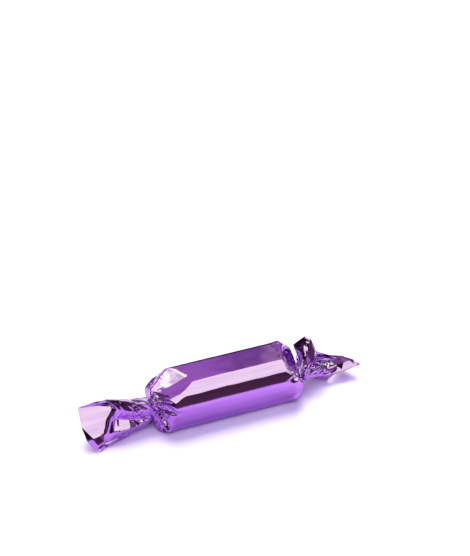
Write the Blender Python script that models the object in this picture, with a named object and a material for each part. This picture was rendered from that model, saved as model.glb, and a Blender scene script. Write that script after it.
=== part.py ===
"""A twist-wrapped honey candy: a soft bar in metallic foil, gathered into a neck and a fan at each end.

The foil is one tube. It lies over the bar, is drawn in and twisted at each neck, and opens beyond it into a
crumpled fan with a hollow mouth. +X runs along the bar and +Z is up. The origin is on the table, under the
middle of the wrapped candy's bounding box. The functions work in the bar's own frame, whose origin is on the
bar's axis.
"""

import math

import bmesh
import bpy
import numpy as np

MM = 0.001

# The wrapped bar, between the planes of its ends
BAR_WIDTH = 13.2 * MM
BAR_HEIGHT = 13.2 * MM
LEFT_END, RIGHT_END = -22.0 * MM, 19.4 * MM
AXIS_HEIGHT = 0.5 * BAR_HEIGHT
# How far its middle lies in front of the axis that the necks are placed from
BAR_FORWARD = 0.3 * MM
# Corners of its section, from the bottom front one round to the bottom back one: (radius, degrees) of every
# arc in turn, a right angle in all
CORNERS = (
    ((1.8 * MM, 90.0),),
    ((2.0 * MM, 24.0), (11.0 * MM, 14.0), (5.2 * MM, 44.0), (2.0 * MM, 8.0)),
    ((0.9 * MM, 60.0), (2.6 * MM, 30.0)),
    ((2.2 * MM, 90.0),),
)
ARC_STEP = 8.0
# Flats pressed into its ends: outward directions and distances from the bar's middle. Two together leave a
# valley where they meet.
PRESSED_FLATS = (
    (((-0.276, -0.181, 0.944), 9.3 * MM), ((-0.307, -0.016, 0.952), 9.8 * MM)),
    (((-0.25, -0.5, 0.83), 10.4 * MM),),
    (((-0.657, 0.477, 0.583), 17.2 * MM),),
    (((-0.66, -0.5, 0.56), 16.8 * MM),),
    (((-0.77, -0.6, 0.25), 17.9 * MM),),
    (((0.777, -0.206, 0.594), 16.1 * MM),),
    (((0.66, 0.5, 0.56), 17.0 * MM),),
    (((0.74, -0.64, -0.2), 18.5 * MM),),
)

# Shoulder and neck
END_ROUNDING = 1.8 * MM
END_DEPTH = 0.3 * MM
NECK_LENGTH = 1.6 * MM
# Turns from the bar's lowest point round to the lowest point of the left fan, and how much further to the right
# one's
NECK_TURNS = 0.25
RIGHT_FAN_TURNS = 0.0625
# Each neck's section: its middle from the bar's axis, and its half sizes (y, z)
LEFT_NECK = ((-1.0 * MM, -1.4 * MM), (2.3 * MM, 4.6 * MM))
RIGHT_NECK = ((-0.8 * MM, -0.8 * MM), (3.0 * MM, 2.6 * MM))

# The foil
FOIL_WALL = 0.38 * MM
PLEATS = 19
PLEAT_DEPTH = 0.3 * MM
END_PLEAT_REACH = 6.0 * MM
CRUMPLE = 0.22 * MM
DIMPLE = 0.03 * MM
# Flat facets of the dimples and of each zone's crumples: rows along the zone, and columns round the foil
DIMPLES = (5, 9)
BAR_CRUMPLES = (24, 26)
SHOULDER_CRUMPLES = (6, 26)
NECK_CRUMPLES = (2, 25)
FAN_CRUMPLES = (9, 25)
LEFT_SEED, RIGHT_SEED = 11, 23

# Each fan is a net of flat triangles. Its rows are at these shares of the way from the neck to the cut edge,
# and its columns are the rows of its table: a point of the cut edge (x, y, z), then how far the foil stands
# out from the straight line to it at the five rows between, all in mm. The table starts at the lowest point,
# goes up the front layer and comes down the back one.
NET_ROWS = (0.0, 0.28, 0.48, 0.68, 0.82, 0.92, 1.0)
NET_SPREAD = 0.12 * MM
LEFT_FAN = (
    (-39.0, -6.6, 0.4, 0.3, 0.3, 0.2, 0.1, 0.0),
    (-38.3, -5.8, 1.5, 0.4, 0.4, 0.3, 0.1, 0.0),
    (-37.0, -4.4, 4.1, 0.0, 0.3, 0.2, 0.3, 0.2),
    (-35.3, -2.7, 7.2, -1.6, -2.2, -2.0, -0.8, 0.1),
    (-33.4, -1.4, 9.4, 1.0, 1.5, 1.3, 0.7, 0.3),
    (-35.3, 0.4, 12.2, 0.7, 1.1, 0.9, 0.4, 0.2),
    (-33.6, 2.0, 10.0, 0.4, 0.6, 0.5, 0.2, 0.1),
    (-38.3, 2.6, 10.0, 0.0, 0.0, 0.0, 0.0, 0.0),
    (-40.5, 2.5, 9.5, 0.0, 0.0, 0.0, 0.0, 0.0),
    (-42.4, 2.6, 9.0, 0.0, 0.0, 0.0, 0.0, 0.0),
    (-42.7, -2.0, 6.3, 0.4, 0.0, 0.0, 0.0, 0.0),
    (-42.0, -4.5, 2.9, 0.8, 0.6, -1.4, -1.9, -1.6),
    (-40.9, -5.8, 1.1, 0.6, 0.5, -0.1, -1.0, -0.8),
    (-40.0, -6.4, 0.5, 0.2, 0.2, 0.0, -0.2, -0.2),
)
RIGHT_FAN = (
    (29.0, -1.9, 0.5, 0.4, 0.4, 0.2, 0.1, 0.0),
    (31.0, -2.0, 2.2, 0.2, 0.4, 0.3, 0.2, 0.1),
    (33.6, -2.7, 3.0, 0.2, 0.3, 0.2, 0.1, 0.0),
    (38.9, -2.5, 4.0, -0.4, -1.0, -1.1, -0.8, -0.4),
    (37.6, 0.3, 3.9, 0.0, 0.0, 0.0, 0.0, 0.0),
    (35.0, 3.2, 3.6, 0.8, 1.0, 0.5, 0.3, 0.1),
    (30.9, 1.5, 6.6, -0.4, -1.6, -1.0, -0.4, 0.0),
    (25.6, -1.2, 12.0, 0.3, 0.8, 0.7, 0.4, 0.2),
    (25.2, 2.3, 13.8, 0.0, 0.0, 0.0, 0.0, 0.0),
    (23.8, 3.5, 14.4, 0.2, 0.2, 0.0, 0.0, 0.0),
    (20.3, 3.4, 12.3, 0.0, 0.0, 0.0, 0.0, 0.0),
    (20.9, 4.6, 10.2, 0.0, 0.0, 0.0, 0.0, 0.0),
    (22.0, 5.3, 8.5, 0.3, 0.3, 0.2, 0.1, 0.0),
    (26.0, 6.0, 5.5, 0.3, 0.3, 0.2, 0.1, 0.0),
    (31.0, 4.0, 2.4, 0.3, 0.3, 0.2, 0.1, 0.0),
    (30.8, 0.8, 1.0, 0.3, 0.3, 0.2, 0.1, 0.0),
)

# Folds that stand out from each net: (column, columns that it reaches to each side, share of the way to the cut
# edge, share that it reaches to each side, height)
LEFT_FOLDS = (
    (1.1, 0.45, 0.65, 0.75, 0.4 * MM),
    (2.0, 2.6, 0.91, 0.06, 0.3 * MM),
    (2.6, 1.6, 0.73, 0.05, 0.3 * MM),
)
RIGHT_FOLDS = (
    (1.4, 0.7, 0.55, 0.6, 0.3 * MM),
    (5.5, 1.5, 0.62, 0.06, 0.3 * MM),
)
# Cells (row, column) of the left net that fold the other way
LEFT_TURNED = ((5, 10), (4, 10))

# Mesh density: columns round the foil, and rings between one row of a fan's net and the next
COLUMNS = 48
RINGS_PER_ROW = 2
NECK_RINGS = 2
SHOULDER_RINGS = 6
BAR_RINGS = 17
# The hollow of each mouth: how many of its net's rows deep it is, how many columns from a fold its inside starts
# to narrow, and the most of the way to the middle that the inside is moved
MOUTH_ROWS = 2
FOLD_STEPS = 5
LINING_REACH = 0.9


def facet_field(along, around, facets, seed):
    """Heights from -1 to 1 made of flat triangles with sharp folds between them, closed in the second direction."""
    rows, columns = facets
    chance = np.random.default_rng(seed)
    heights = chance.uniform(-1.0, 1.0, (rows + 3, columns))
    diagonal = chance.random((rows + 3, columns)) < 0.5
    phases = chance.uniform(0.0, 2.0 * math.pi, 4)
    turn = 2.0 * math.pi * around
    a = along * rows + 0.33 * np.sin(3.0 * turn + phases[0]) + 0.22 * np.sin(7.0 * turn + phases[1]) + 0.6
    b = around * columns + 0.3 * np.sin(2.3 * a + phases[2]) + 0.2 * np.sin(5.1 * a + phases[3])
    i = np.clip(np.floor(a).astype(int), 0, rows + 1)
    j = np.floor(b).astype(int)
    x, y = np.clip(a - i, 0.0, 1.0), b - j
    low, high = j % columns, (j + 1) % columns
    h00, h10, h01, h11 = heights[i, low], heights[i + 1, low], heights[i, high], heights[i + 1, high]
    rising = np.where(
        x > y, h00 + x * (h10 - h00) + y * (h11 - h10), h00 + y * (h01 - h00) + x * (h11 - h01)
    )
    falling = np.where(
        x + y < 1.0,
        h00 + x * (h10 - h00) + y * (h01 - h00),
        h11 + (1.0 - x) * (h01 - h11) + (1.0 - y) * (h10 - h11),
    )
    return np.where(diagonal[i, low], rising, falling)


def pleat_wave(around, count, seed):
    """A sharp wave from -1 to 1 round the tube, with pleats of uneven width and depth."""
    phase = np.random.default_rng(seed).uniform(0.0, 2.0 * math.pi, 3)
    turn = 2.0 * math.pi * around
    place = count * around + 0.35 * np.sin(2.0 * turn + phase[0]) + 0.25 * np.sin(5.0 * turn + phase[1])
    place += phase[2]
    wave = 4.0 * np.abs(place - np.floor(place + 0.5)) - 1.0
    depth = 0.75 + 0.25 * np.sin(3.0 * turn + phase[2]) + 0.2 * np.sin(4.0 * turn + phase[0])
    return wave * np.clip(depth, 0.35, 1.2)


def corner_curve(arcs):
    """Points of a corner that starts at (0, 0) heading along the first axis and turns to the second."""
    points, heading = [np.zeros(2)], 0.0
    for radius, degrees in arcs:
        steps = max(2, round(degrees / ARC_STEP))
        bend = math.radians(degrees) / steps
        for _ in range(steps):
            heading += 0.5 * bend
            chord = 2.0 * radius * math.sin(0.5 * bend)
            points.append(points[-1] + chord * np.array([math.cos(heading), math.sin(heading)]))
            heading += 0.5 * bend
    return np.array(points)


def bar_section(around):
    """(y, z) of the bar's section at shares of its girth, from the middle of the bottom up the front."""
    half = 0.5 * np.array([BAR_WIDTH, BAR_HEIGHT])
    bottom = np.array([[0.0, -half[1]]])
    pieces = [bottom]
    ahead, aside = np.array([-1.0, 0.0]), np.array([0.0, 1.0])
    for arcs in CORNERS:
        curve = corner_curve(arcs)
        start = (ahead - aside) * half - ahead * curve[-1, 0]
        pieces.append(start + curve @ np.array([ahead, aside]))
        ahead, aside = aside, -ahead
    outline = np.concatenate(pieces + [bottom]) - (BAR_FORWARD, 0.0)
    reach = np.concatenate([[0.0], np.cumsum(np.linalg.norm(np.diff(outline, axis=0), axis=1))])
    share = np.mod(around, 1.0) * reach[-1]
    return np.stack([np.interp(share, reach, outline[:, k]) for k in range(2)], axis=1)


def neck_section(side, around, waist):
    """(y, z) of the neck in the same order as the bar's section, its half sizes scaled by its waist."""
    turn = 2.0 * math.pi * around
    middle, half = np.array(LEFT_NECK if side < 0 else RIGHT_NECK)
    return middle - waist * half * np.stack([np.sin(turn), np.cos(turn)], axis=1)


def ring_at(x, section):
    return np.column_stack([np.full(len(section), x), section])


def end_of(side):
    return LEFT_END if side < 0 else RIGHT_END


def shoulder_ring(side, share, around):
    """From the bar's full section at share 0 round its end to the neck at share 1."""
    rounded = 0.36
    turn = 0.5 * math.pi * min(share / rounded, 1.0)
    face = max(0.0, (share - rounded) / (1.0 - rounded))
    drawn_in = 0.16 * (1.0 - math.cos(turn)) + 0.84 * face
    x = end_of(side) + side * (END_ROUNDING * (math.sin(turn) - 1.0) + END_DEPTH * face)
    section = (1.0 - drawn_in) * bar_section(around) + drawn_in * neck_section(side, around, 1.0)
    return ring_at(x, section)


def neck_ring(side, share, around):
    """From the shoulder at share 0 to the fan at share 1, turned as it goes."""
    waist = 0.88 + 0.12 * (2.0 * share - 1.0) ** 2
    x = end_of(side) + side * (END_DEPTH + NECK_LENGTH * share)
    return ring_at(x, neck_section(side, around + NECK_TURNS * share, waist))


def fan_turns(side):
    """How far round the lowest point of a fan's table is from the bar's lowest point."""
    return NECK_TURNS if side < 0 else NECK_TURNS + RIGHT_FAN_TURNS


def fan_net(side):
    """Points of a fan's net: an array of rows by columns."""
    table = np.array(LEFT_FAN if side < 0 else RIGHT_FAN) * MM
    columns = len(table)
    edge = table[:, :3] - (0.0, 0.0, AXIS_HEIGHT)
    start = neck_ring(side, 1.0, np.arange(columns) / columns - fan_turns(side))
    out = side * np.cross(edge - start, np.roll(edge, -1, axis=0) - np.roll(edge, 1, axis=0))
    out /= np.linalg.norm(out, axis=1, keepdims=True)
    chance = np.random.default_rng(4 if side < 0 else 5)
    bulges = np.zeros((len(NET_ROWS), columns))
    bulges[1:-1] = table[:, 3:].T + NET_SPREAD * chance.uniform(-1.0, 1.0, (len(NET_ROWS) - 2, columns))
    shares = np.array(NET_ROWS)[:, None, None]
    return (1.0 - shares) * start + shares * edge + bulges[:, :, None] * out


def on_flat_triangles(net, turned, row, column):
    """Points on a net whose cells fold along their shorter diagonal, and the turned ones along the longer one.

    The net is closed in the second direction.
    """
    rows, columns = net.shape[0] - 1, net.shape[1]
    i = np.clip(np.floor(row).astype(int), 0, rows - 1)
    j = np.floor(column).astype(int)
    x, y = (row - i)[..., None], (column - j)[..., None]
    low, high = j % columns, (j + 1) % columns
    p00, p10, p01, p11 = net[i, low], net[i + 1, low], net[i, high], net[i + 1, high]
    rising = np.where(x > y, p00 + x * (p10 - p00) + y * (p11 - p10), p00 + y * (p01 - p00) + x * (p11 - p01))
    near, far = p00 + x * (p10 - p00) + y * (p01 - p00), p11 + (1.0 - x) * (p01 - p11) + (1.0 - y) * (p10 - p11)
    falling = np.where(x + y < 1.0, near, far)
    falls = np.linalg.norm(p10 - p01, axis=-1) < np.linalg.norm(p11 - p00, axis=-1)
    for cell in turned:
        falls ^= (i == cell[0]) & (low == cell[1])
    return np.where(falls[..., None], falling, rising)


def fan_ring(side, share, around):
    """From the neck at share 0 to the cut edge at share 1."""
    net = fan_net(side)
    row = np.full_like(around, np.interp(share, NET_ROWS, range(len(NET_ROWS))))
    turned = LEFT_TURNED if side < 0 else ()
    return on_flat_triangles(net, turned, row, (around + fan_turns(side)) * net.shape[1])


def bar_stations():
    """Shares of the bar's length, closer together towards its ends, where its flats and pleats are."""
    even = np.arange(1, BAR_RINGS + 1) / (BAR_RINGS + 1)
    return even - 0.11 * np.sin(2.0 * math.pi * even)


def stations():
    """(zone, side, share) of every ring from the left rim to the right one."""
    rows = np.arange(1, RINGS_PER_ROW * (len(NET_ROWS) - 1) + 1) / RINGS_PER_ROW
    fan = np.interp(rows, range(len(NET_ROWS)), NET_ROWS)
    half = [("shoulder", k / SHOULDER_RINGS) for k in range(SHOULDER_RINGS)]
    half += [("neck", k / NECK_RINGS) for k in range(NECK_RINGS + 1)]
    half += [("fan", share) for share in fan]
    left = [(zone, -1.0, share) for zone, share in reversed(half)]
    right = [(zone, 1.0, share) for zone, share in half]
    bar = [("bar", 0.0, share) for share in bar_stations()]
    return left + bar + right


def press_flats(points):
    """Moves what stands out beyond each pressed flat straight back onto it."""
    for flats in PRESSED_FLATS:
        directions = np.array([direction for direction, distance in flats])
        directions /= np.linalg.norm(directions, axis=1, keepdims=True)
        proud = points @ directions.T - np.array([distance for direction, distance in flats])
        nearest = np.argmin(proud, axis=-1)
        proud = np.maximum(proud.min(axis=-1), 0.0)
        points = points - proud[..., None] * directions[nearest]
    return points


def smooth_foil(around):
    """The tube before it is creased: an array of rings of points."""
    first, last = LEFT_END + END_ROUNDING, RIGHT_END - END_ROUNDING
    rings = []
    for zone, side, share in stations():
        if zone == "fan":
            rings.append(fan_ring(side, share, around))
        elif zone == "neck":
            rings.append(neck_ring(side, share, around))
        elif zone == "shoulder":
            rings.append(press_flats(shoulder_ring(side, share, around)))
        else:
            rings.append(press_flats(ring_at(first + (last - first) * share, bar_section(around))))
    return np.array(rings)


def outward(points):
    """Unit normals of a tube given as rings of points."""
    along = np.gradient(points, axis=0)
    across = np.roll(points, -1, axis=1) - np.roll(points, 1, axis=1)
    normal = np.cross(across, along)
    return normal / np.maximum(np.linalg.norm(normal, axis=2, keepdims=True), 1e-12)


def bottom_share(around):
    """1 on the flat that the candy lies on, and 0 clear of it."""
    from_middle = np.abs(np.mod(around + 0.5, 1.0) - 0.5)
    return np.clip((0.16 - from_middle) / 0.03, 0.0, 1.0)


def side_share(around):
    """1 in the middle of the front and of the back, and 0 along the top and the bottom."""
    return np.abs(np.sin(2.0 * math.pi * around)) * (1.0 - bottom_share(around))


def bar_creases(share, around):
    """Pleats and crumples that run out from each pinch over the bar's sides, and shallow dimples elsewhere."""
    level = np.full_like(around, share)
    depths = DIMPLE * facet_field(level, around, DIMPLES, 5) * (1.0 - bottom_share(around))
    for gap, seed in ((share, LEFT_SEED), (1.0 - share, RIGHT_SEED)):
        near_end = max(0.0, 1.0 - gap * (RIGHT_END - LEFT_END) / END_PLEAT_REACH)
        pleats = PLEAT_DEPTH * (pleat_wave(around, PLEATS, seed) - 1.0)
        crumple = CRUMPLE * facet_field(level, around, BAR_CRUMPLES, seed + 6)
        depths += near_end**1.5 * side_share(around) * (pleats + crumple)
    return depths


def tent(distance):
    return np.maximum(0.0, 1.0 - np.abs(distance))


def fold_depths(side, share, around):
    """How far a fan's folds stand out."""
    folds, table = (LEFT_FOLDS, LEFT_FAN) if side < 0 else (RIGHT_FOLDS, RIGHT_FAN)
    column = (around + fan_turns(side)) * len(table)
    depths = np.zeros_like(around)
    for place, breadth, level, reach, height in folds:
        apart = np.mod(column - place + 0.5 * len(table), len(table)) - 0.5 * len(table)
        depths += height * tent(apart / breadth) * tent((share - level) / reach)
    return depths


def crease_depths(around):
    """How far each point moves along its normal: pleats where the foil is drawn in, folds, and flat crumples."""
    depths = []
    for zone, side, share in stations():
        if zone == "bar":
            depths.append(bar_creases(share, around))
            continue
        seed = LEFT_SEED if side < 0 else RIGHT_SEED
        level = np.full_like(around, share)
        pleats = PLEAT_DEPTH * (pleat_wave(around, PLEATS, seed) - 1.0)
        if zone == "fan":
            pleats *= 0.7 * max(0.0, 1.0 - 2.0 * share)
            crumple = CRUMPLE * (1.0 - share) ** 1.3 * facet_field(level, around, FAN_CRUMPLES, seed + 3)
            depths.append(pleats + crumple + fold_depths(side, share, around))
        elif zone == "neck":
            depths.append(0.7 * pleats + CRUMPLE * facet_field(level, around, NECK_CRUMPLES, seed + 4))
        else:
            spread = side_share(around) + (0.7 - side_share(around)) * share
            depths.append(spread * (pleats + CRUMPLE * facet_field(level, around, SHOULDER_CRUMPLES, seed + 5)))
    return np.array(depths)


def steps_round(side, count):
    """How many columns each column of a fan is past the fold at its lowest point."""
    return np.mod(np.arange(count) + round(fan_turns(side) * count), count)


def column_of(side, step, count):
    return np.mod(step - round(fan_turns(side) * count), count)


def middles(side, rings):
    """For each point of a fan: halfway from it to the nearest point of the other layer."""
    front = steps_round(side, rings.shape[1]) < rings.shape[1] // 2
    halfway = np.empty_like(rings)
    for layer in (front, ~front):
        other = rings[:, ~layer].reshape(-1, 3)
        apart = np.linalg.norm(rings[:, layer, None] - other, axis=-1)
        halfway[:, layer] = 0.5 * (rings[:, layer] + other[np.argmin(apart, axis=-1)])
    return halfway


def lining(side, rings):
    """The inside of a fan: its foil, moved towards the middle between the front layer and the back one."""
    count = rings.shape[1]
    half, steps = count // 2, steps_round(side, count)
    clear = np.where(
        steps < half,
        np.clip(steps, FOLD_STEPS, half - FOLD_STEPS),
        np.clip(steps, half + FOLD_STEPS, count - FOLD_STEPS),
    )
    reach = middles(side, rings)[:, column_of(side, clear, count)] - rings
    length = np.linalg.norm(reach, axis=2, keepdims=True)
    return rings + reach * np.minimum(FOIL_WALL / length, LINING_REACH)


def foil_mesh(around):
    """(outer rings, inner rings of the left mouth and of the right mouth from the rim in), flat on the table."""
    smooth = smooth_foil(around)
    outer = smooth + crease_depths(around)[:, :, None] * outward(smooth)
    outer[..., 2] = np.maximum(outer[..., 2], -AXIS_HEIGHT)
    deep = RINGS_PER_ROW * MOUTH_ROWS
    return outer, lining(-1.0, outer[:deep]), lining(1.0, outer[::-1][:deep])


def skin(mesh, rings):
    """Faces between each ring of vertices and the next."""
    for ring, following in zip(rings, rings[1:]):
        for k, vertex in enumerate(ring):
            nearest = (k + 1) % len(ring)
            mesh.faces.new((vertex, ring[nearest], following[nearest], following[k]))


def stand_on_table(mesh):
    """Moves the mesh so that the origin is under the middle of its bounding box."""
    low, high = ([pick(vertex.co[k] for vertex in mesh.verts) for k in range(3)] for pick in (min, max))
    shift = (-0.5 * (low[0] + high[0]), -0.5 * (low[1] + high[1]), -low[2])
    bmesh.ops.translate(mesh, verts=mesh.verts, vec=shift)


def wrapped_candy(collection, material):
    around = np.arange(COLUMNS) / COLUMNS
    outer, left_mouth, right_mouth = foil_mesh(around)
    mesh = bmesh.new()
    tube = [[mesh.verts.new(point) for point in ring] for ring in outer]
    skin(mesh, tube)
    for rim, mouth in ((tube[0], left_mouth), (tube[-1], right_mouth)):
        inside = [rim] + [[mesh.verts.new(point) for point in ring] for ring in mouth]
        skin(mesh, inside)
        mesh.faces.new(inside[-1])
    bmesh.ops.recalc_face_normals(mesh, faces=mesh.faces)
    if mesh.calc_volume(signed=True) < 0.0:
        bmesh.ops.reverse_faces(mesh, faces=mesh.faces)
    bmesh.ops.triangulate(mesh, faces=mesh.faces, quad_method="SHORT_EDGE", ngon_method="BEAUTY")
    stand_on_table(mesh)
    data = bpy.data.meshes.new("wrapped_candy")
    mesh.to_mesh(data)
    mesh.free()
    data.materials.append(material)
    data.shade_smooth()
    data.set_sharp_from_angle(angle=math.radians(25.0))
    candy = bpy.data.objects.new("wrapped_candy", data)
    collection.objects.link(candy)
    return candy


def purple_foil():
    material = bpy.data.materials.new("purple_foil")
    material.use_nodes = True
    shader = material.node_tree.nodes["Principled BSDF"]
    shader.inputs["Base Color"].default_value = (0.36, 0.12, 0.68, 1.0)
    shader.inputs["Metallic"].default_value = 1.0
    shader.inputs["Roughness"].default_value = 0.14
    return material


def main():
    for old in list(bpy.data.objects):
        bpy.data.objects.remove(old, do_unlink=True)
    collection = bpy.data.collections.new("honey_candy")
    bpy.context.scene.collection.children.link(collection)
    wrapped_candy(collection, purple_foil())


main()
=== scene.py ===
"""The looks of a twist-wrapped honey candy: creased purple foil on a pale floor, in soft studio light."""

import math

import bmesh
import bpy
import numpy as np
from mathutils import Matrix, Vector


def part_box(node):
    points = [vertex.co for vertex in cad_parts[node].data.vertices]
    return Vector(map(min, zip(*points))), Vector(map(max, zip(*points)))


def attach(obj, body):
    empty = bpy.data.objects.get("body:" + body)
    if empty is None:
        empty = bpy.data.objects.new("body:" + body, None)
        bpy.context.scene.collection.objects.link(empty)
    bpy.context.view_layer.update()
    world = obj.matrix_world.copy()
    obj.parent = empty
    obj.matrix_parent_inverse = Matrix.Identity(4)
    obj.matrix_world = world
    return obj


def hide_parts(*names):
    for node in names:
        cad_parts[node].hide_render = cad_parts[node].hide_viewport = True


MM = 0.001

# The wrapped bar, between the planes of its ends
BAR_WIDTH = 13.2 * MM
BAR_HEIGHT = 13.2 * MM
LEFT_END, RIGHT_END = -22.0 * MM, 19.4 * MM
BAR_LENGTH = RIGHT_END - LEFT_END
AXIS_HEIGHT = 0.5 * BAR_HEIGHT
# How far its middle lies in front of the axis that the necks are placed from
BAR_FORWARD = 0.3 * MM
# Corners of its section, from the bottom front one round to the bottom back one: (radius, degrees) of every
# arc in turn, a right angle in all
CORNERS = (
    ((1.8 * MM, 90.0),),
    ((2.0 * MM, 24.0), (11.0 * MM, 14.0), (5.2 * MM, 44.0), (2.0 * MM, 8.0)),
    ((0.5 * MM, 8.0), (6.0 * MM, 8.0), (0.9 * MM, 44.0), (2.6 * MM, 30.0)),
    ((2.2 * MM, 90.0),),
)
# Degrees between one point of a corner's arcs and the next
ARC_STEP = 2.0
# Flats pressed into its ends: outward directions and distances from the bar's middle. Two together leave a
# valley where they meet.
PRESSED_FLATS = (
    (((-0.276, -0.181, 0.944), 9.3 * MM), ((-0.307, -0.016, 0.952), 9.8 * MM)),
    (((-0.25, -0.5, 0.83), 10.4 * MM),),
    (((-0.657, 0.477, 0.583), 17.2 * MM),),
    (((-0.66, -0.5, 0.56), 16.8 * MM),),
    (((-0.77, -0.6, 0.25), 17.9 * MM),),
    (((0.777, -0.206, 0.594), 16.1 * MM),),
    (((0.66, 0.5, 0.56), 17.0 * MM),),
    (((0.74, -0.64, -0.2), 18.5 * MM),),
)
# The flat that it lies on, as shares of the girth: how far it reaches to each side of the lowest point, and
# over what stretch within it the creases fade out
BOTTOM_REACH = 0.16
BOTTOM_FADE = 0.03

# Shoulders: how far the bar's ends are rounded, the share of the shoulder that the rounding takes, the share
# of the way in to the neck that it covers, and how far the end face slopes out from there
END_ROUNDING = 1.8 * MM
ROUNDED_SHARE = 0.36
ROUNDED_DRAW = 0.16
END_DEPTH = 0.3 * MM
# Necks: their length, and what their waist leaves of their full size
NECK_LENGTH = 1.6 * MM
WAIST = 0.88
# Each neck's section: its middle from the bar's axis, and its half sizes (y, z)
LEFT_NECK = ((-1.0 * MM, -1.4 * MM), (2.3 * MM, 4.6 * MM))
RIGHT_NECK = ((-0.8 * MM, -0.8 * MM), (3.0 * MM, 2.6 * MM))
# Turns from the bar's lowest point round to the lowest point of the left fan, and how much further to the
# right one's
NECK_TURNS = 0.25
RIGHT_FAN_TURNS = 0.0625

# The depth of every pleat, crumple, leaf and fold below counts into the foil: one above 0 is pressed in, and
# one below 0 stands out

# The foil's wall, and the pleats where it is drawn in, with what scales their depth at the bar's ends and at
# the necks
FOIL_WALL = 0.1 * MM
PLEATS = 13
PLEAT_DEPTH = 0.3 * MM
END_PLEATS = 1.7
NECK_PLEATS = 0.7
# How far they reach over the bar, with the power that they fade out by, and their share of the fans
END_PLEAT_REACH = 4.0 * MM
END_FADE = 1.5
FAN_PLEAT_REACH = 1.0 / 3.0
# Turns by which they slant on their way from a neck to the bar's end, and again over their reach on the bar
END_TWIST = 0.12
BAR_TWIST = 0.06
# Their unevenness: sines of (height, waves round the foil) that shift them, by widths of a pleat, and that
# change their depth, which has a mean and limits
PLEAT_SHIFTS = ((0.35, 2.0), (0.25, 5.0))
PLEAT_DEPTHS = ((0.25, 3.0), (0.2, 4.0))
PLEAT_MEAN = 0.75
PLEAT_LIMITS = (0.35, 1.2)

# Depths of the flat crumples, which fade towards the fans' edges by a power, and of the bar's dimples
CRUMPLE = 0.22 * MM
SHOULDER_CRUMPLE = 0.5 * CRUMPLE
CRUMPLE_FADE = 1.3
DIMPLE = 0.03 * MM
# Their facets: rows along the zone, columns round the foil, and what each kind adds to its end's seed
BAR_CRUMPLES = (24, 26, 6)
SHOULDER_CRUMPLES = (6, 26, 5)
NECK_CRUMPLES = (2, 25, 4)
FAN_CRUMPLES = (9, 25, 3)
FINE_CRUMPLES = (22, 58, 7)
DIMPLES = (5, 9, 5)
BAR_SEED, LEFT_SEED, RIGHT_SEED = 0, 11, 23
# Sines that bend the rows of facets, of (height, waves round the foil), and then the columns, of (height,
# radians a row), and the margin that keeps every row above the first one's start
ROW_WAVES = ((0.33, 3.0), (0.22, 7.0))
COLUMN_WAVES = ((0.3, 2.3), (0.2, 5.1))
ROW_MARGIN = 0.6

# Leaves of foil at the bar's left end: where each starts and ends, as a distance along the foil from the
# rounding's edge and a share of the girth, then its width as a share of the girth and its depth
LEAVES = (
    ((-3.0 * MM, 0.36), (4.8 * MM, 0.262), 0.08, 1.1 * MM),
    ((-3.0 * MM, 0.25), (2.2 * MM, 0.19), 0.05, 0.8 * MM),
    ((-3.0 * MM, 0.18), (1.2 * MM, 0.13), 0.05, 0.7 * MM),
)
# The power by which they taper to their tips, the share of their width in which they come back out at their
# lower edge, and the length of the shoulder along the foil
LEAF_TAPER = 0.7
LEAF_DROP = 0.2
SHOULDER_REACH = 7.0 * MM

# Each fan is a net of flat triangles. Its rows are at these shares of the way from the neck to the cut edge,
# and its columns are the rows of its table: a point of the cut edge (x, y, z), then how far the foil stands
# out from the straight line to it at the five rows between, all in mm. The table starts at the lowest point,
# goes up the front layer and comes down the back one.
NET_ROWS = (0.0, 0.28, 0.48, 0.68, 0.82, 0.92, 1.0)
LEFT_FAN = (
    (-39.0, -6.6, 0.4, 0.3, 0.3, 0.2, 0.1, 0.0),
    (-38.3, -5.8, 1.5, 0.4, 0.4, 0.3, 0.1, 0.0),
    (-37.0, -4.4, 4.1, 0.5, 1.1, 1.3, 0.6, 0.2),
    (-35.3, -2.7, 7.2, -0.4, -0.6, -0.9, -0.7, 0.1),
    (-33.4, -1.4, 9.4, 0.8, 1.1, 0.9, 0.5, 0.2),
    (-35.3, 0.4, 12.2, 0.9, 1.3, 1.0, 0.5, 0.2),
    (-33.6, 2.0, 10.0, 0.4, 0.6, 0.5, 0.2, 0.1),
    (-38.3, 2.6, 10.0, 0.0, 0.0, 0.0, 0.0, 0.0),
    (-40.5, 2.5, 9.5, 0.0, 0.0, 0.0, 0.0, 0.0),
    (-42.4, 2.6, 9.0, 0.0, 0.0, 0.0, 0.0, 0.0),
    (-42.7, -2.0, 6.3, 0.4, 0.0, 0.0, 0.0, 0.0),
    (-42.0, -4.5, 2.9, 0.8, 0.6, -1.1, -1.4, -1.2),
    (-40.9, -5.8, 1.1, 0.6, 0.5, -0.3, -1.4, -1.2),
    (-40.0, -6.4, 0.5, 0.2, 0.2, 0.0, -0.2, -0.2),
)
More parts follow.
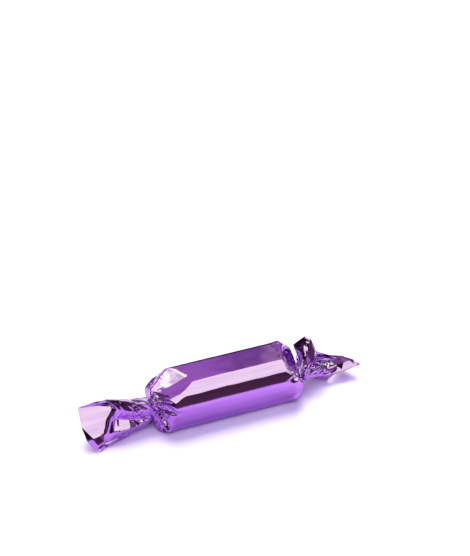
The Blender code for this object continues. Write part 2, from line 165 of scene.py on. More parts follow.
RIGHT_FAN = (
    (29.0, -1.9, 0.5, 0.4, 0.4, 0.2, 0.1, 0.0),
    (31.0, -2.0, 2.2, 0.2, 0.4, 0.3, 0.2, 0.1),
    (33.6, -2.7, 3.0, 0.2, 0.3, 0.2, 0.1, 0.0),
    (38.9, -2.5, 4.0, -0.4, -1.0, -1.1, -0.8, -0.4),
    (37.6, 0.3, 3.9, 0.0, 0.0, 0.0, 0.0, 0.0),
    (35.0, 3.2, 3.6, 0.8, 1.0, 0.5, 0.3, 0.1),
    (30.9, 1.5, 6.6, -0.4, -1.6, -1.0, -0.4, 0.0),
    (25.6, -1.2, 12.0, 0.3, 0.8, 0.7, 0.4, 0.2),
    (25.2, 2.3, 13.8, 0.0, 0.0, 0.0, 0.0, 0.0),
    (23.8, 3.5, 14.4, 0.2, 0.2, 0.0, 0.0, 0.0),
    (20.3, 3.4, 12.3, 0.0, 0.0, 0.0, 0.0, 0.0),
    (20.9, 4.6, 10.2, 0.0, 0.0, 0.0, 0.0, 0.0),
    (22.0, 5.3, 8.5, 0.3, 0.3, 0.2, 0.1, 0.0),
    (26.0, 6.0, 5.5, 0.3, 0.3, 0.2, 0.1, 0.0),
    (31.0, 4.0, 2.4, 0.3, 0.3, 0.2, 0.1, 0.0),
    (30.8, 0.8, 1.0, 0.3, 0.3, 0.2, 0.1, 0.0),
)
# Cells (row, column) of the left net that fold the other way
LEFT_TURNED = ((5, 10), (4, 10))
# How far chance moves the points of each net
NET_SPREAD = 0.12 * MM
LEFT_NET_SEED, RIGHT_NET_SEED = 4, 5

# Folds pressed into each net: (column, columns that it reaches to each side, share of the way to the cut
# edge, share that it reaches to each side, depth)
LEFT_FOLDS = (
    (1.1, 0.45, 0.65, 0.75, 0.4 * MM),
    (2.0, 2.6, 0.91, 0.06, 0.3 * MM),
    (2.6, 1.6, 0.73, 0.05, 0.3 * MM),
    (9.3, 2.2, 0.8, 0.02, 0.06 * MM),
)
RIGHT_FOLDS = (
    (1.4, 0.7, 0.55, 0.6, 0.3 * MM),
    (5.5, 1.5, 0.62, 0.06, 0.3 * MM),
)
# Areas of each net that are finely crushed, described in the same way
LEFT_CRUSHED = (
    (4.6, 2.0, 0.3, 0.75, 0.16 * MM),
    (3.4, 1.2, 0.2, 0.5, 0.26 * MM),
    (2.0, 1.6, 0.0, 0.3, 0.16 * MM),
)
RIGHT_CRUSHED = (
    (4.5, 3.5, 0.1, 0.8, 0.16 * MM),
)
# How finely foil is crinkled, from 0 to 1: it is 1 at the necks and where a crushed area has this depth, it
# is less at the bar's ends, and from each neck it fades over a share of the fan
FULLY_CRUSHED = 0.2 * MM
END_CRUSHED = 0.4
FAN_CRUSHED_REACH = 0.25

# Mesh density: columns round the foil, rings in each zone, and rings between two rows of a fan's net
COLUMNS = 240
BAR_RINGS = 90
SHOULDER_RINGS = 20
NECK_RINGS = 8
RINGS_PER_ROW = 10
# How much the bar's rings are crowded towards its ends, and the rows of the nets that have a lining
CROWDING = 0.11
MOUTH_ROWS = 4
# Rounds of smoothing, and the angle in degrees from which an edge stays sharp
SOFTENING = 2
SHARP_ANGLE = 40.0

# The foil's finish. Each noise has a scale, a stretch along the bar and a detail.
TINTS = ((0.345, 0.12, 0.55, 1.0), (0.455, 0.18, 0.67, 1.0))
TINT_NOISE = (420.0, 14.0, 4.0)
ROUGHNESS = (0.05, 0.1)
ROUGHNESS_NOISE = (260.0, 3.0, 3.0)
STREAK_NOISE = (1400.0, 24.0, 2.0)
STREAK_HEIGHT = 0.008 * MM
CRINKLES_PER_METRE = 1000.0
CRINKLE_HEIGHT = 0.16 * MM
COAT, COAT_ROUGHNESS = 0.3, 0.03
# The range in which most of a noise's values lie
NOISE_RANGE = (0.3, 0.7)

FLOOR_SIZE = 4.0
FLOOR_COLOUR = (0.85, 0.85, 0.86, 1.0)
FLOOR_ROUGHNESS = 0.6

# The picture that the camera takes: its size in pixels, and the pixel where it shows the bar's middle
PICTURE_WIDTH, PICTURE_HEIGHT = 470, 556
BAR_MIDDLE_PIXEL = (229, 384)
PIXELS_PER_METRE = 3600.0
CAMERA_AZIMUTH, CAMERA_ELEVATION = -19.5, 40.0
LENS, SENSOR = 85.0, 36.0
CLIP_START = 0.01

# Lights: name, place, target, size, watts and colour. Only reflections show the first ones, which are
# greenish because the foil turns that to a pale lilac. Only matt surfaces show the others.
GREENISH = (0.54, 1.0, 0.37)
LILAC = (0.64, 0.44, 1.0)
WHITE = (1.0, 1.0, 1.0)
CANDY_PLACE = (0.0, 0.0, 0.0)
REFLECTED_LIGHTS = (
    ("card", (0.18, -0.137, 0.945), (0.18, 0.157, 0.0), (1.06, 1.7), 21.0, GREENISH),
    ("wing", (-0.29, 0.4, 0.893), (-0.29, 0.68, 0.0), (0.2, 0.36), 0.49, GREENISH),
    ("rim", (0.9, 0.2, 0.45), CANDY_PLACE, (0.25, 0.7), 2.5, GREENISH),
)
FLOOR_LIGHTS = (
    ("key", (0.15, 0.45, 0.75), CANDY_PLACE, (0.5, 0.5), 11.5, WHITE),
    ("glow", (0.0, -0.3, 0.8), CANDY_PLACE, (0.9, 0.9), 6.9, LILAC),
)

# The room that the foil reflects: its dark walls, patches of them, and its horizon, which fades out at a
# height. Each patch has a direction, the angles from it at which it starts to fade and ends, and a colour.
ROOM_DARK = (0.03, 0.021, 0.027, 1.0)
HORIZON = (0.5, 0.5, 0.5, 1.0)
HORIZON_TOP = 0.1
DIM = (0.4, 0.3, 0.38, 1.0)
MAUVE = (0.2, 0.14, 0.18, 1.0)
PLUM = (0.12, 0.085, 0.08, 1.0)
ROOM_PATCHES = (
    ((0.26, -0.9, 0.33), 20.0, 34.0, PLUM),
    ((-0.62, 0.02, 0.78), 16.0, 30.0, MAUVE),
    ((-0.7, 0.62, 0.4), 12.0, 30.0, DIM),
    ((0.78, -0.6, 0.2), 12.0, 24.0, DIM),
    ((0.5, 0.7, 0.5), 14.0, 20.0, DIM),
)
# A last patch, which the bar's top reflects, changes its colour towards the right: (place along x, colour)
PALE_PATCH = ((0.0, 0.7, 0.7), 20.0, 27.0)
PALE_STOPS = (
    (0.225, (0.66, 0.5, 0.7, 1.0)),
    (0.249, (0.24, 0.13, 0.34, 1.0)),
    (0.27, (0.68, 0.73, 0.56, 1.0)),
)


def of_side(side, left, right):
    """What belongs to the left end if the side is negative, and to the right end otherwise."""
    return left if side < 0 else right


def waves(sines, angle, phases):
    """The sum of sines of (height, frequency), each from its own phase."""
    total = np.zeros_like(angle)
    for (height, frequency), phase in zip(sines, phases):
        total += height * np.sin(frequency * angle + phase)
    return total


def facet_field(along, around, facets, seed):
    """Heights from -1 to 1 of flat triangles with sharp folds between them, closed round the foil."""
    rows, columns, kind = facets
    chance = np.random.default_rng(seed + kind)
    heights = chance.uniform(-1.0, 1.0, (rows + 3, columns))
    diagonal = chance.random((rows + 3, columns)) < 0.5
    phases = chance.uniform(0.0, 2.0 * math.pi, 4)
    row = along * rows + waves(ROW_WAVES, 2.0 * math.pi * around, phases[:2]) + ROW_MARGIN
    column = around * columns + waves(COLUMN_WAVES, row, phases[2:])
    i = np.clip(np.floor(row).astype(int), 0, rows + 1)
    j = np.floor(column).astype(int)
    x, y = np.clip(row - i, 0.0, 1.0), column - j
    low, high = j % columns, (j + 1) % columns
    h00, h10, h01, h11 = heights[i, low], heights[i + 1, low], heights[i, high], heights[i + 1, high]
    rising = np.where(
        x > y,
        h00 + x * (h10 - h00) + y * (h11 - h10),
        h00 + y * (h01 - h00) + x * (h11 - h01),
    )
    falling = np.where(
        x + y < 1.0,
        h00 + x * (h10 - h00) + y * (h01 - h00),
        h11 + (1.0 - x) * (h01 - h11) + (1.0 - y) * (h10 - h11),
    )
    return np.where(diagonal[i, low], rising, falling)


def pleat_depths(around, seed):
    """Depths of the pleats, mostly below 0: a sharp and uneven wave round the foil."""
    phases = np.random.default_rng(seed).uniform(0.0, 2.0 * math.pi, 3)
    angle = 2.0 * math.pi * around
    place = PLEATS * around + waves(PLEAT_SHIFTS, angle, phases[:2]) + phases[2]
    wave = 4.0 * np.abs(place - np.floor(place + 0.5)) - 1.0
    depth = PLEAT_MEAN + waves(PLEAT_DEPTHS, angle, (phases[2], phases[0]))
    return PLEAT_DEPTH * (wave * np.clip(depth, *PLEAT_LIMITS) - 1.0)


def corner_curve(arcs):
    """Points of a corner that starts at (0, 0) heading along the first axis and turns to the second."""
    points, heading = [np.zeros(2)], 0.0
    for radius, degrees in arcs:
        steps = max(2, round(degrees / ARC_STEP))
        bend = math.radians(degrees) / steps
        for _ in range(steps):
            heading += 0.5 * bend
            chord = 2.0 * radius * math.sin(0.5 * bend)
            points.append(points[-1] + chord * np.array([math.cos(heading), math.sin(heading)]))
            heading += 0.5 * bend
    return np.array(points)


def bar_section(around):
    """(y, z) of the bar's section at shares of its girth, from the middle of the bottom up the front."""
    half = 0.5 * np.array([BAR_WIDTH, BAR_HEIGHT])
    bottom = np.array([[0.0, -half[1]]])
    pieces = [bottom]
    ahead, aside = np.array([-1.0, 0.0]), np.array([0.0, 1.0])
    for arcs in CORNERS:
        curve = corner_curve(arcs)
        start = (ahead - aside) * half - ahead * curve[-1, 0]
        pieces.append(start + curve @ np.array([ahead, aside]))
        ahead, aside = aside, -ahead
    outline = np.concatenate(pieces + [bottom]) - (BAR_FORWARD, 0.0)
    reach = np.concatenate([[0.0], np.cumsum(np.linalg.norm(np.diff(outline, axis=0), axis=1))])
    share = np.mod(around, 1.0) * reach[-1]
    return np.stack([np.interp(share, reach, outline[:, k]) for k in range(2)], axis=1)


def neck_section(side, around, waist):
    """(y, z) of the neck in the same order as the bar's section, its half sizes scaled by its waist."""
    turn = 2.0 * math.pi * around
    middle, half = np.array(of_side(side, LEFT_NECK, RIGHT_NECK))
    return middle - waist * half * np.stack([np.sin(turn), np.cos(turn)], axis=1)


def ring_at(x, section):
    """Points (x, y, z) of a section (y, z)."""
    return np.column_stack([np.full(len(section), x), section])


def bar_ring(share, around):
    """Along the bar, from the left rounding at share 0 to the right one at share 1."""
    start = LEFT_END + END_ROUNDING
    return ring_at(start + (BAR_LENGTH - 2.0 * END_ROUNDING) * share, bar_section(around))


def shoulder_ring(side, share, around):
    """From the bar's full section at share 0 round its end to the neck at share 1."""
    turn = 0.5 * math.pi * min(share / ROUNDED_SHARE, 1.0)
    face = max(0.0, (share - ROUNDED_SHARE) / (1.0 - ROUNDED_SHARE))
    drawn_in = ROUNDED_DRAW * (1.0 - math.cos(turn)) + (1.0 - ROUNDED_DRAW) * face
    out = END_ROUNDING * (math.sin(turn) - 1.0) + END_DEPTH * face
    section = (1.0 - drawn_in) * bar_section(around) + drawn_in * neck_section(side, around, 1.0)
    return ring_at(of_side(side, LEFT_END, RIGHT_END) + side * out, section)


def neck_ring(side, share, around):
    """From the shoulder at share 0 to the fan at share 1, turned as it goes."""
    waist = WAIST + (1.0 - WAIST) * (2.0 * share - 1.0) ** 2
    x = of_side(side, LEFT_END, RIGHT_END) + side * (END_DEPTH + NECK_LENGTH * share)
    return ring_at(x, neck_section(side, around + NECK_TURNS * share, waist))


def fan_turns(side):
    """How far round the lowest point of a fan's table is from the bar's lowest point."""
    return NECK_TURNS + of_side(side, 0.0, RIGHT_FAN_TURNS)


def fan_net(side):
    """Points of a fan's net: an array of rows by columns."""
    table = np.array(of_side(side, LEFT_FAN, RIGHT_FAN)) * MM
    columns = len(table)
    edge = table[:, :3] - (0.0, 0.0, AXIS_HEIGHT)
    start = neck_ring(side, 1.0, np.arange(columns) / columns - fan_turns(side))
    out = side * np.cross(edge - start, np.roll(edge, -1, axis=0) - np.roll(edge, 1, axis=0))
    out /= np.linalg.norm(out, axis=1, keepdims=True)
    chance = np.random.default_rng(of_side(side, LEFT_NET_SEED, RIGHT_NET_SEED))
    bulges = np.zeros((len(NET_ROWS), columns))
    bulges[1:-1] = table[:, 3:].T + NET_SPREAD * chance.uniform(-1.0, 1.0, (len(NET_ROWS) - 2, columns))
    shares = np.array(NET_ROWS)[:, None, None]
    return (1.0 - shares) * start + shares * edge + bulges[:, :, None] * out


def on_flat_triangles(net, turned, row, column):
    """Points on a net whose cells fold along their shorter diagonal, or along the longer one if turned.

    The net is closed in the second direction.
    """
    rows, columns = net.shape[0] - 1, net.shape[1]
    i = np.clip(np.floor(row).astype(int), 0, rows - 1)
    j = np.floor(column).astype(int)
    x, y = (row - i)[..., None], (column - j)[..., None]
    low, high = j % columns, (j + 1) % columns
    p00, p10, p01, p11 = net[i, low], net[i + 1, low], net[i, high], net[i + 1, high]
    rising = np.where(
        x > y,
        p00 + x * (p10 - p00) + y * (p11 - p10),
        p00 + y * (p01 - p00) + x * (p11 - p01),
    )
    falling = np.where(
        x + y < 1.0,
        p00 + x * (p10 - p00) + y * (p01 - p00),
        p11 + (1.0 - x) * (p01 - p11) + (1.0 - y) * (p10 - p11),
    )
    falls = np.linalg.norm(p10 - p01, axis=-1) < np.linalg.norm(p11 - p00, axis=-1)
    for cell in turned:
        falls ^= (i == cell[0]) & (low == cell[1])
    return np.where(falls[..., None], falling, rising)


def fan_ring(side, share, around):
    """From the neck at share 0 to the cut edge at share 1."""
    net = fan_net(side)
    row = np.full_like(around, np.interp(share, NET_ROWS, range(len(NET_ROWS))))
    turned = of_side(side, LEFT_TURNED, ())
    return on_flat_triangles(net, turned, row, (around + fan_turns(side)) * net.shape[1])


def bar_stations():
    """Shares of the bar's length, closer together towards its ends, where its flats and pleats are."""
    even = np.arange(1, BAR_RINGS + 1) / (BAR_RINGS + 1)
    return even - CROWDING * np.sin(2.0 * math.pi * even)


def stations():
    """(zone, side, share) of every ring from the left rim to the right one."""
    rows = np.arange(1, RINGS_PER_ROW * (len(NET_ROWS) - 1) + 1) / RINGS_PER_ROW
    fan = np.interp(rows, range(len(NET_ROWS)), NET_ROWS)
    half = [("shoulder", k / SHOULDER_RINGS) for k in range(SHOULDER_RINGS)]
    half += [("neck", k / NECK_RINGS) for k in range(NECK_RINGS + 1)]
    half += [("fan", share) for share in fan]
    left = [(zone, -1.0, share) for zone, share in reversed(half)]
    right = [(zone, 1.0, share) for zone, share in half]
    bar = [("bar", 0.0, share) for share in bar_stations()]
    return left + bar + right


def press_flats(points):
    """Moves what stands out beyond each pressed flat straight back onto it."""
    for flats in PRESSED_FLATS:
        directions = np.array([direction for direction, distance in flats])
        directions /= np.linalg.norm(directions, axis=1, keepdims=True)
        proud = points @ directions.T - np.array([distance for direction, distance in flats])
        nearest = np.argmin(proud, axis=-1)
        proud = np.maximum(proud.min(axis=-1), 0.0)
        points = points - proud[..., None] * directions[nearest]
    return points


def smooth_foil(around):
    """The tube before it is creased: an array of rings of points."""
    rings = []
    for zone, side, share in stations():
        if zone == "fan":
            rings.append(fan_ring(side, share, around))
        elif zone == "neck":
            rings.append(neck_ring(side, share, around))
        elif zone == "shoulder":
            rings.append(press_flats(shoulder_ring(side, share, around)))
        else:
            rings.append(press_flats(bar_ring(share, around)))
    return np.array(rings)


def inward(points):
    """Unit normals of a tube given as rings of points, which point into it."""
    along = np.gradient(points, axis=0)
    across = np.roll(points, -1, axis=1) - np.roll(points, 1, axis=1)
    normal = np.cross(across, along)
    return normal / np.maximum(np.linalg.norm(normal, axis=2, keepdims=True), 1e-12)


def bottom_share(around):
    """1 on the flat that the candy lies on, and 0 clear of it."""
    from_middle = np.abs(np.mod(around + 0.5, 1.0) - 0.5)
    return np.clip((BOTTOM_REACH - from_middle) / BOTTOM_FADE, 0.0, 1.0)


def side_share(around):
    """1 in the middle of the front and of the back, and 0 along the top and the flat below."""
    return np.abs(np.sin(2.0 * math.pi * around)) * (1.0 - bottom_share(around))


def leaf_depths(beyond, around):
    """Depths of the leaves: each goes further in down to its lower edge, and comes back out there."""
    depths = np.zeros_like(around)
    for (start, first), (end, last), width, depth in LEAVES:
        way = (beyond - start) / (end - start)
        if 0.0 < way < 1.0:
            left = (1.0 - way) ** LEAF_TAPER
            rise = (first + (last - first) * way - around) / (width * left) + 0.5
            drop = (1.0 + LEAF_DROP - rise) / LEAF_DROP
            depths += depth * left * np.clip(rise, 0.0, 1.0) * np.clip(drop, 0.0, 1.0)
    return depths


def bar_creases(share, around):
    """Shallow dimples, the leaves, and pleats and crumples that run out from the pinches over the sides."""
    level = np.full_like(around, share)
    depths = DIMPLE * facet_field(level, around, DIMPLES, BAR_SEED) * (1.0 - bottom_share(around))
    for gap, seed in ((share, LEFT_SEED), (1.0 - share, RIGHT_SEED)):
        from_end = gap * BAR_LENGTH / END_PLEAT_REACH
        near_end = max(0.0, 1.0 - from_end)
        pleats = END_PLEATS * pleat_depths(around + END_TWIST + BAR_TWIST * from_end, seed)
        crumples = CRUMPLE * facet_field(level, around, BAR_CRUMPLES, seed)
        depths += near_end**END_FADE * side_share(around) * (pleats + crumples)
    return depths + leaf_depths(share * (BAR_LENGTH - 2.0 * END_ROUNDING), around)


def shoulder_creases(side, share, around):
    """Pleats and crumples, which spread all round towards the neck, and the roots of the leaves."""
    seed = of_side(side, LEFT_SEED, RIGHT_SEED)
    pleats = END_PLEATS * pleat_depths(around + END_TWIST * (1.0 - share), seed)
    level = np.full_like(around, share)
    crumples = SHOULDER_CRUMPLE * facet_field(level, around, SHOULDER_CRUMPLES, seed)
    strength = side_share(around) + (NECK_PLEATS - side_share(around)) * share
    leaves = (1.0 - share) * leaf_depths(-SHOULDER_REACH * share, around)
    return strength * (pleats + crumples) + of_side(side, leaves, 0.0)


def neck_creases(side, share, around):
    """Pleats and crumples all round."""
    seed = of_side(side, LEFT_SEED, RIGHT_SEED)
    crumples = CRUMPLE * facet_field(np.full_like(around, share), around, NECK_CRUMPLES, seed)
    return NECK_PLEATS * pleat_depths(around, seed) + crumples


def tent(distance):
    """1 at a distance of 0, falling straight to 0 at a distance of 1."""
    return np.maximum(0.0, 1.0 - np.abs(distance))


def tents(areas, side, share, around):
    """The depth of a fan's areas, each deepest in its middle."""
    columns = len(of_side(side, LEFT_FAN, RIGHT_FAN))
    column = (around + fan_turns(side)) * columns
    depths = np.zeros_like(around)
    for place, breadth, level, reach, depth in areas:
        apart = np.mod(column - place + 0.5 * columns, columns) - 0.5 * columns
        depths += depth * tent(apart / breadth) * tent((share - level) / reach)
    return depths


def fan_creases(side, share, around):
    """Pleats near the neck, crumples that fade towards the cut edge, finer crushed areas, and folds."""
    seed = of_side(side, LEFT_SEED, RIGHT_SEED)
    level = np.full_like(around, share)
    pleats = NECK_PLEATS * max(0.0, 1.0 - share / FAN_PLEAT_REACH) * pleat_depths(around, seed)
    crumples = CRUMPLE * (1.0 - share) ** CRUMPLE_FADE * facet_field(level, around, FAN_CRUMPLES, seed)
    crushed = tents(of_side(side, LEFT_CRUSHED, RIGHT_CRUSHED), side, share, around)
    fine = crushed * facet_field(level, around, FINE_CRUMPLES, seed)
    return pleats + crumples + fine + tents(of_side(side, LEFT_FOLDS, RIGHT_FOLDS), side, share, around)


def crease_depths(around):
    """How far each point of the tube moves in along its normal, or out where this is below 0."""
    depths = []
    for zone, side, share in stations():
        if zone == "fan":
            depths.append(fan_creases(side, share, around))
        elif zone == "neck":
            depths.append(neck_creases(side, share, around))
        elif zone == "shoulder":
            depths.append(shoulder_creases(side, share, around))
        else:
            depths.append(bar_creases(share, around))
    return np.array(depths)


def crushed_share(zone, side, share, around):
    """How finely the foil is crushed: 1 at the necks, and 0 along the bar and where the fans are smooth."""
    if zone == "bar":
        gap = min(share, 1.0 - share) * BAR_LENGTH
        return END_CRUSHED * side_share(around) * max(0.0, 1.0 - gap / END_PLEAT_REACH)
    if zone == "shoulder":
        return END_CRUSHED * side_share(around) * (1.0 - share) + share
    if zone == "neck":
        return np.ones_like(around)
    areas = of_side(side, LEFT_CRUSHED, RIGHT_CRUSHED)
    return np.maximum(1.0 - share / FAN_CRUSHED_REACH, tents(areas, side, share, around) / FULLY_CRUSHED)


def soften(points):
    """Rounds every fold over its nearest points."""
    for _ in range(SOFTENING):
        points = 0.5 * points + 0.25 * (np.roll(points, 1, axis=1) + np.roll(points, -1, axis=1))
        points[1:-1] = 0.5 * points[1:-1] + 0.25 * (points[2:] + points[:-2])
    return points


def foil_rings(around):
    """The creased tube: an array of rings of points, none of them below the table."""
    smooth = smooth_foil(around)
    creased = soften(smooth + crease_depths(around)[:, :, None] * inward(smooth))
    creased[..., 2] = np.maximum(creased[..., 2], -AXIS_HEIGHT)
    return creased


def skin(mesh, rings):
    """Faces between each ring of vertices and the next."""
    for ring, following in zip(rings, rings[1:]):
        for k, vertex in enumerate(ring):
            nearest = (k + 1) % len(ring)
            mesh.faces.new((vertex, ring[nearest], following[nearest], following[k]))


def foil_mesh(rings):
    """The foil as one closed mesh: the tube, and a lining as far as one can see into each fan.

    A known fault: the lining lies a wall's thickness outside the tube, so the walls that have one are inside
    out, and it passes through the tube where it ends.
    """
    lined = rings - FOIL_WALL * inward(rings)
    deep = RINGS_PER_ROW * MOUTH_ROWS
    mesh = bmesh.new()
    tube = [[mesh.verts.new(point) for point in ring] for ring in rings]
    skin(mesh, tube)
    for rim, mouth in ((tube[0], lined[:deep]), (tube[-1], lined[::-1][:deep])):
        lining = [rim] + [[mesh.verts.new(point) for point in ring] for ring in mouth]
        skin(mesh, lining)
        bottom = mesh.verts.new(np.mean(mouth[-1], axis=0))
        for k, vertex in enumerate(lining[-1]):
            mesh.faces.new((vertex, lining[-1][(k + 1) % COLUMNS], bottom))
    bmesh.ops.recalc_face_normals(mesh, faces=mesh.faces)
    if mesh.calc_volume(signed=True) < 0.0:
        bmesh.ops.reverse_faces(mesh, faces=mesh.faces)
    data = bpy.data.meshes.new("foil_wrapper")
    mesh.to_mesh(data)
    mesh.free()
    return data


def foil_wrapper(rings, around):
    """The foil, with how finely it is crushed at each point of its tube, which its finish reads."""
    data = foil_mesh(rings)
    shares = np.zeros(len(data.vertices))
    crushed = np.concatenate([crushed_share(*station, around) for station in stations()])
    shares[: len(crushed)] = np.clip(crushed, 0.0, 1.0)
    data.attributes.new("crushed", "FLOAT", "POINT").data.foreach_set("value", shares)
    data.shade_smooth()
    data.set_sharp_from_angle(angle=math.radians(SHARP_ANGLE))
    wrapper = bpy.data.objects.new("foil_wrapper", data)
    bpy.context.scene.collection.objects.link(wrapper)
    return wrapper


def noise(nodes, links, place, scale, stretch, detail):
    """Soft noise over the foil, drawn out along the bar by a stretch of more than 1."""
    squeezed = nodes.new("ShaderNodeMapping")
    squeezed.inputs["Scale"].default_value = (1.0 / stretch, 1.0, 1.0)
    links.new(place, squeezed.inputs["Vector"])
    texture = nodes.new("ShaderNodeTexNoise")
    texture.inputs["Scale"].default_value = scale
    texture.inputs["Detail"].default_value = detail
    links.new(squeezed.outputs["Vector"], texture.inputs["Vector"])
    return texture.outputs["Fac"]


def spread(nodes, links, value, low, high):
    """A noise's usual range spread from low to high."""
    spreader = nodes.new("ShaderNodeMapRange")
    spreader.inputs["From Min"].default_value, spreader.inputs["From Max"].default_value = NOISE_RANGE
    spreader.inputs["To Min"].default_value = low
    spreader.inputs["To Max"].default_value = high
    links.new(value, spreader.inputs["Value"])
    return spreader.outputs["Result"]


def mixed(nodes, links, share, first, second):
    """A mix of two colours, each given as a colour or as a node's output."""
    mix = nodes.new("ShaderNodeMix")
    mix.data_type = "RGBA"
    links.new(share, mix.inputs[0])
    for socket, colour in ((mix.inputs[6], first), (mix.inputs[7], second)):
        if isinstance(colour, tuple):
            socket.default_value = colour
        else:
            links.new(colour, socket)
    return mix.outputs[2]


def foil_bumps(nodes, links, place):
    """Drawn streaks along the foil, and crinkles where it is crushed."""
    streaks = nodes.new("ShaderNodeBump")
    streaks.inputs["Distance"].default_value = STREAK_HEIGHT
    links.new(noise(nodes, links, place, *STREAK_NOISE), streaks.inputs["Height"])
    cells = nodes.new("ShaderNodeTexVoronoi")
    cells.distance = "MANHATTAN"
    cells.inputs["Scale"].default_value = CRINKLES_PER_METRE
    links.new(place, cells.inputs["Vector"])
    crushed = nodes.new("ShaderNodeAttribute")
    crushed.attribute_name = "crushed"
    crinkles = nodes.new("ShaderNodeBump")
    crinkles.inputs["Distance"].default_value = CRINKLE_HEIGHT
    links.new(crushed.outputs["Fac"], crinkles.inputs["Strength"])
    links.new(cells.outputs["Distance"], crinkles.inputs["Height"])
    links.new(streaks.outputs["Normal"], crinkles.inputs["Normal"])
    return crinkles.outputs["Normal"]


def foil_material():
    """Purple metal foil of slightly uneven tint and polish, under a thin clear coat."""
    material = bpy.data.materials.new("purple_foil_finish")
    material.use_nodes = True
    nodes, links = material.node_tree.nodes, material.node_tree.links
    shader = nodes["Principled BSDF"]
    shader.inputs["Metallic"].default_value = 1.0
    shader.inputs["Coat Weight"].default_value = COAT
    shader.inputs["Coat Roughness"].default_value = COAT_ROUGHNESS
    place = nodes.new("ShaderNodeTexCoord").outputs["Object"]
    polish = spread(nodes, links, noise(nodes, links, place, *ROUGHNESS_NOISE), *ROUGHNESS)
    links.new(polish, shader.inputs["Roughness"])
    brushed = spread(nodes, links, noise(nodes, links, place, *TINT_NOISE), 0.0, 1.0)
    links.new(mixed(nodes, links, brushed, *TINTS), shader.inputs["Base Color"])
    links.new(foil_bumps(nodes, links, place), shader.inputs["Normal"])
    return material


def floor():
    """A pale floor under the candy."""
    bpy.ops.mesh.primitive_plane_add(size=FLOOR_SIZE)
    ground = bpy.context.object
    ground.name = "floor"
    material = bpy.data.materials.new("floor_white")
    material.use_nodes = True
    shader = material.node_tree.nodes["Principled BSDF"]
    shader.inputs["Base Color"].default_value = FLOOR_COLOUR
    shader.inputs["Roughness"].default_value = FLOOR_ROUGHNESS
    ground.data.materials.append(material)


def camera(bar_middle):
    """The camera shows the bar's middle at its pixel and scale, from its azimuth and elevation."""
    azimuth, elevation = math.radians(CAMERA_AZIMUTH), math.radians(CAMERA_ELEVATION)
    level_back = Vector((math.sin(azimuth), -math.cos(azimuth), 0.0))
    back = math.cos(elevation) * level_back + Vector((0.0, 0.0, math.sin(elevation)))
    right = Vector((math.cos(azimuth), math.sin(azimuth), 0.0))
    up = back.cross(right)
    distance = LENS / SENSOR * PICTURE_HEIGHT / PIXELS_PER_METRE
    across = (BAR_MIDDLE_PIXEL[0] - 0.5 * PICTURE_WIDTH) / PIXELS_PER_METRE
    down = (BAR_MIDDLE_PIXEL[1] - 0.5 * PICTURE_HEIGHT) / PIXELS_PER_METRE
    data = bpy.data.cameras.new("camera")
    data.lens, data.sensor_width, data.clip_start = LENS, SENSOR, CLIP_START
    holder = bpy.data.objects.new("camera", data)
    bpy.context.scene.collection.objects.link(holder)
    matrix = Matrix((right, up, back)).transposed().to_4x4()
    matrix.translation = bar_middle - across * right + down * up + distance * back
    holder.matrix_world = matrix
    bpy.context.scene.camera = holder


def area_light(name, place, target, size, power, colour):
    """A rectangular light that faces its target."""
    data = bpy.data.lights.new(name, "AREA")
    data.shape = "RECTANGLE"
    data.size, data.size_y = size
    data.energy = power
    data.color = colour
    light = bpy.data.objects.new(name, data)
    bpy.context.scene.collection.objects.link(light)
    light.location = place
    light.rotation_mode = "QUATERNION"
    light.rotation_quaternion = (Vector(target) - Vector(place)).to_track_quat("-Z", "Y")
    return light


def lights():
    """A pale card overhead, a wing for the bar's pressed end and a rim, then soft lights for the floor."""
    for light in REFLECTED_LIGHTS:
        area_light(*light).visible_diffuse = False
    for light in FLOOR_LIGHTS:
        area_light(*light).visible_glossy = False


def around_direction(nodes, links, place, direction, inner, outer):
    """1 within an angle of a direction of the room, fading to 0 at the outer angle."""
    towards = nodes.new("ShaderNodeVectorMath")
    towards.operation = "DOT_PRODUCT"
    towards.inputs[1].default_value = Vector(direction).normalized()
    links.new(place, towards.inputs[0])
    fade = nodes.new("ShaderNodeMapRange")
    fade.interpolation_type = "SMOOTHSTEP"
    fade.inputs["From Min"].default_value = math.cos(math.radians(outer))
    fade.inputs["From Max"].default_value = math.cos(math.radians(inner))
    links.new(towards.outputs["Value"], fade.inputs["Value"])
    return fade.outputs["Result"]


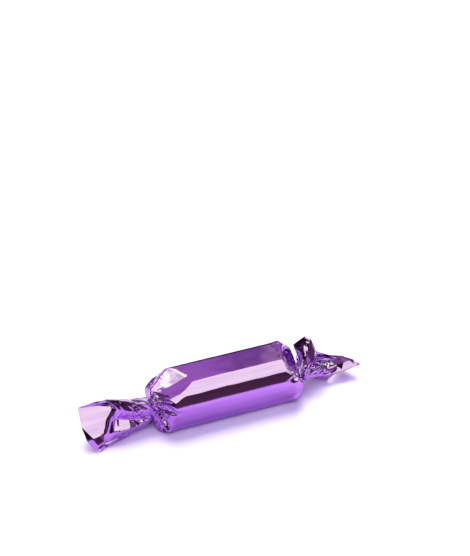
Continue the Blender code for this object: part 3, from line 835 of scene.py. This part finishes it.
def studio():
    """A dark room, paler along the horizon, with dim patches and a pale one that the bar's top reflects."""
    world = bpy.data.worlds.new("studio")
    bpy.context.scene.world = world
    world.use_nodes = True
    nodes, links = world.node_tree.nodes, world.node_tree.links
    place = nodes.new("ShaderNodeTexCoord").outputs["Generated"]
    split = nodes.new("ShaderNodeSeparateXYZ")
    links.new(place, split.inputs[0])

    room = ROOM_DARK
    for direction, inner, outer, colour in ROOM_PATCHES:
        patch = around_direction(nodes, links, place, direction, inner, outer)
        room = mixed(nodes, links, patch, room, colour)

    pale = nodes.new("ShaderNodeValToRGB")
    links.new(split.outputs["X"], pale.inputs[0])
    elements = pale.color_ramp.elements
    elements.new(0.5)
    for element, (position, colour) in zip(elements, PALE_STOPS):
        element.position = position
        element.color = colour
    patch = around_direction(nodes, links, place, *PALE_PATCH)
    room = mixed(nodes, links, patch, room, pale.outputs[0])

    horizon = nodes.new("ShaderNodeMapRange")
    horizon.inputs["From Max"].default_value = HORIZON_TOP
    horizon.inputs["To Min"].default_value = 1.0
    horizon.inputs["To Max"].default_value = 0.0
    links.new(split.outputs["Z"], horizon.inputs["Value"])
    room = mixed(nodes, links, horizon.outputs["Result"], room, HORIZON)
    links.new(room, nodes["Background"].inputs[0])


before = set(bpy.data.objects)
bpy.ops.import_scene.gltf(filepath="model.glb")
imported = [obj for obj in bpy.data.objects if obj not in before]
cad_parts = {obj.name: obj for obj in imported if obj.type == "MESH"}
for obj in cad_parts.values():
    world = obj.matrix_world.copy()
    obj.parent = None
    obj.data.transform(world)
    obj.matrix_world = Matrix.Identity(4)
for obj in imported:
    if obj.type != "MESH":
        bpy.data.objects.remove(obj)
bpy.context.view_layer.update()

around = np.arange(COLUMNS) / COLUMNS
rings = foil_rings(around)
node_low, node_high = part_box("wrapped_candy")
middle = 0.5 * (rings.reshape(-1, 3).min(axis=0) + rings.reshape(-1, 3).max(axis=0))
centre = 0.5 * (np.array(node_low) + np.array(node_high))
move = np.array([centre[0] - middle[0], centre[1] - middle[1], AXIS_HEIGHT])

wrapper = foil_wrapper(rings + move, around)
wrapper.data.materials.append(foil_material())
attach(wrapper, "root")
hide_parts("wrapped_candy")

floor()
camera(Vector(move))
lights()
studio()
bpy.context.scene.view_settings.view_transform = "Standard"
